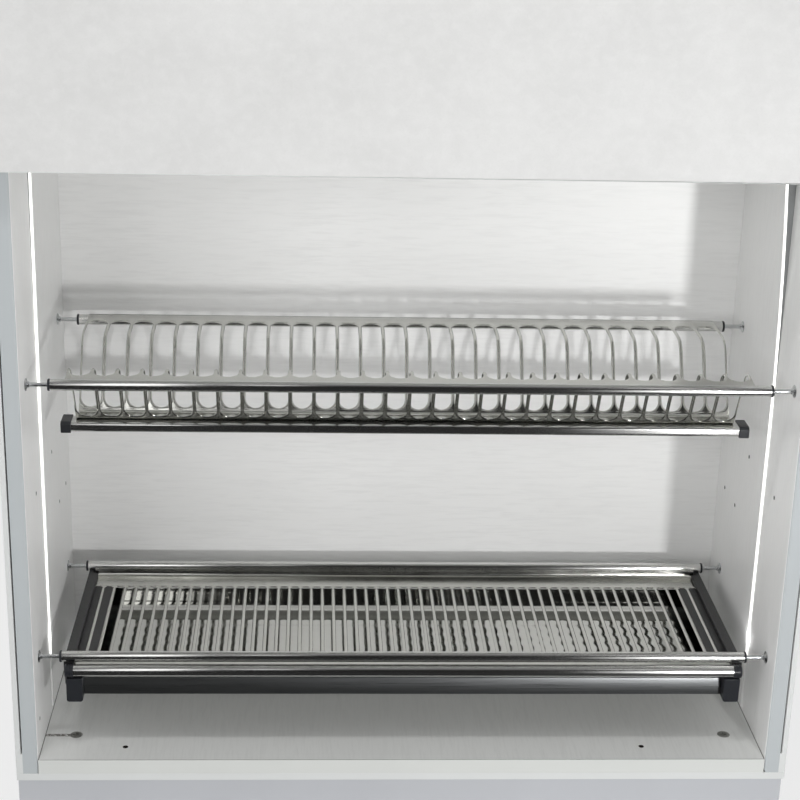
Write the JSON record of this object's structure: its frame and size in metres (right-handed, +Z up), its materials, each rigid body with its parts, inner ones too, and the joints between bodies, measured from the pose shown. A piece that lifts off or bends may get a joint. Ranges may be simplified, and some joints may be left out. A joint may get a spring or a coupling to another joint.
{
  "type": "dish drainer cabinet",
  "caption": "White kitchen cabinet with a raised lift door, light bars in its sides, a stamped plate rack and a cup rack over a pull-out drip tray.",
  "frame": {"origin": "on the floor, at the middle of the plinth's centre rib", "axes": "+X to the right seen from the front, +Y to the back, +Z up"},
  "size_m": [0.916, 0.372, 1.609],
  "materials": {
    "board": "white laminate with an embossed wood grain",
    "edge_board": "pale grey laminate edges",
    "plinth": "smooth grey-blue laminate",
    "door": "pale concrete-look laminate",
    "stainless": "polished stainless steel",
    "chromed": "bright chromed steel",
    "zinc": "zinc-plated steel",
    "die_cast": "die-cast zinc",
    "black_plastic": "black moulded plastic",
    "nylon": "natural nylon",
    "rubber": "black rubber",
    "aluminium": "anodised aluminium",
    "dark_aluminium": "dark anodised aluminium",
    "diffuser": "opal plastic, lit from behind",
    "circuit": "white flexible circuit",
    "beech": "fluted beech"
  },
  "bodies": {
    "root": {"side_panel_left": "board", "side_panel_right": "board", "bottom_panel": "board", "top_panel": "board", "back_panel": "board", "hanging_rail": "board", "end_skin_left": "edge_board", "end_skin_right": "edge_board", "base_board": "edge_board", "plinth_boards": "plinth", "plinth_ends": "plinth", "plinth_rib": "plinth", "cam_locks": "die_cast", "cam_bolts": "zinc", "wooden_dowels": "beech", "light_channels": "aluminium", "light_tapes": "circuit", "light_lenses": "diffuser", "door_rail_left": "aluminium", "door_rail_right": "aluminium", "rail_screws": "zinc", "door_buffers": "rubber", "spring_axles": "zinc", "upper_tubes": "chromed", "lower_tubes": "chromed", "plate_front_band": "stainless", "plate_front_strips": "stainless", "plate_trough": "stainless", "plate_rear_strips": "stainless", "plate_rear_band": "stainless", "trough_bar": "stainless", "trough_bar_caps": "black_plastic", "drain_sheet": "stainless", "nosing_tube": "chromed", "nosing_caps": "black_plastic", "tray_rail_left": "black_plastic", "tray_rail_right": "black_plastic", "rod_bushes": "black_plastic"},
    "door": {"door_panel": "door", "door_edging": "door", "door_arms": "zinc", "door_sliders": "black_plastic", "door_screws": "zinc", "spring_strips": "stainless"},
    "coil_left": {"spring_coil_left": "stainless", "spring_hub_left": "nylon"},
    "coil_right": {"spring_coil_right": "stainless", "spring_hub_right": "nylon"},
    "drip_tray": {"drip_tray": "stainless", "tray_front": "dark_aluminium", "tray_front_caps": "black_plastic"},
    "upper_rods_left": {"upper_rods_left": "chromed"},
    "upper_rods_right": {"upper_rods_right": "chromed"},
    "lower_rods_left": {"lower_rods_left": "chromed"},
    "lower_rods_right": {"lower_rods_right": "chromed"}
  },
  "joints": [
    {"name": "door_lift", "type": "slide", "parent": "root", "child": "door", "axis": [0, 0, 1], "range_m": [-0.72, 0]},
    {"name": "tray_slide", "type": "slide", "parent": "root", "child": "drip_tray", "axis": [0, -1, 0], "range_m": [0, 0.17]},
    {"name": "coil_turn_left", "type": "hinge", "parent": "root", "child": "coil_left", "pos_m": [-0.445, -0.11265, 0.859], "axis": [1, 0, 0], "range_deg": [0, 2760]},
    {"name": "coil_turn_right", "type": "hinge", "parent": "root", "child": "coil_right", "pos_m": [0.445, -0.11265, 0.859], "axis": [1, 0, 0], "range_deg": [0, 2760]},
    {"name": "upper_rods_slide_left", "type": "slide", "parent": "root", "child": "upper_rods_left", "axis": [1, 0, 0], "range_m": [0, 0.019]},
    {"name": "upper_rods_slide_right", "type": "slide", "parent": "root", "child": "upper_rods_right", "axis": [-1, 0, 0], "range_m": [0, 0.019]},
    {"name": "lower_rods_slide_left", "type": "slide", "parent": "root", "child": "lower_rods_left", "axis": [1, 0, 0], "range_m": [0, 0.019]},
    {"name": "lower_rods_slide_right", "type": "slide", "parent": "root", "child": "lower_rods_right", "axis": [-1, 0, 0], "range_m": [0, 0.019]}
  ],
  "couplings": [
    {"joint": "coil_turn_left", "follows": "door_lift", "rad_per_m": -66.667},
    {"joint": "coil_turn_right", "follows": "door_lift", "rad_per_m": -66.667}
  ]
}
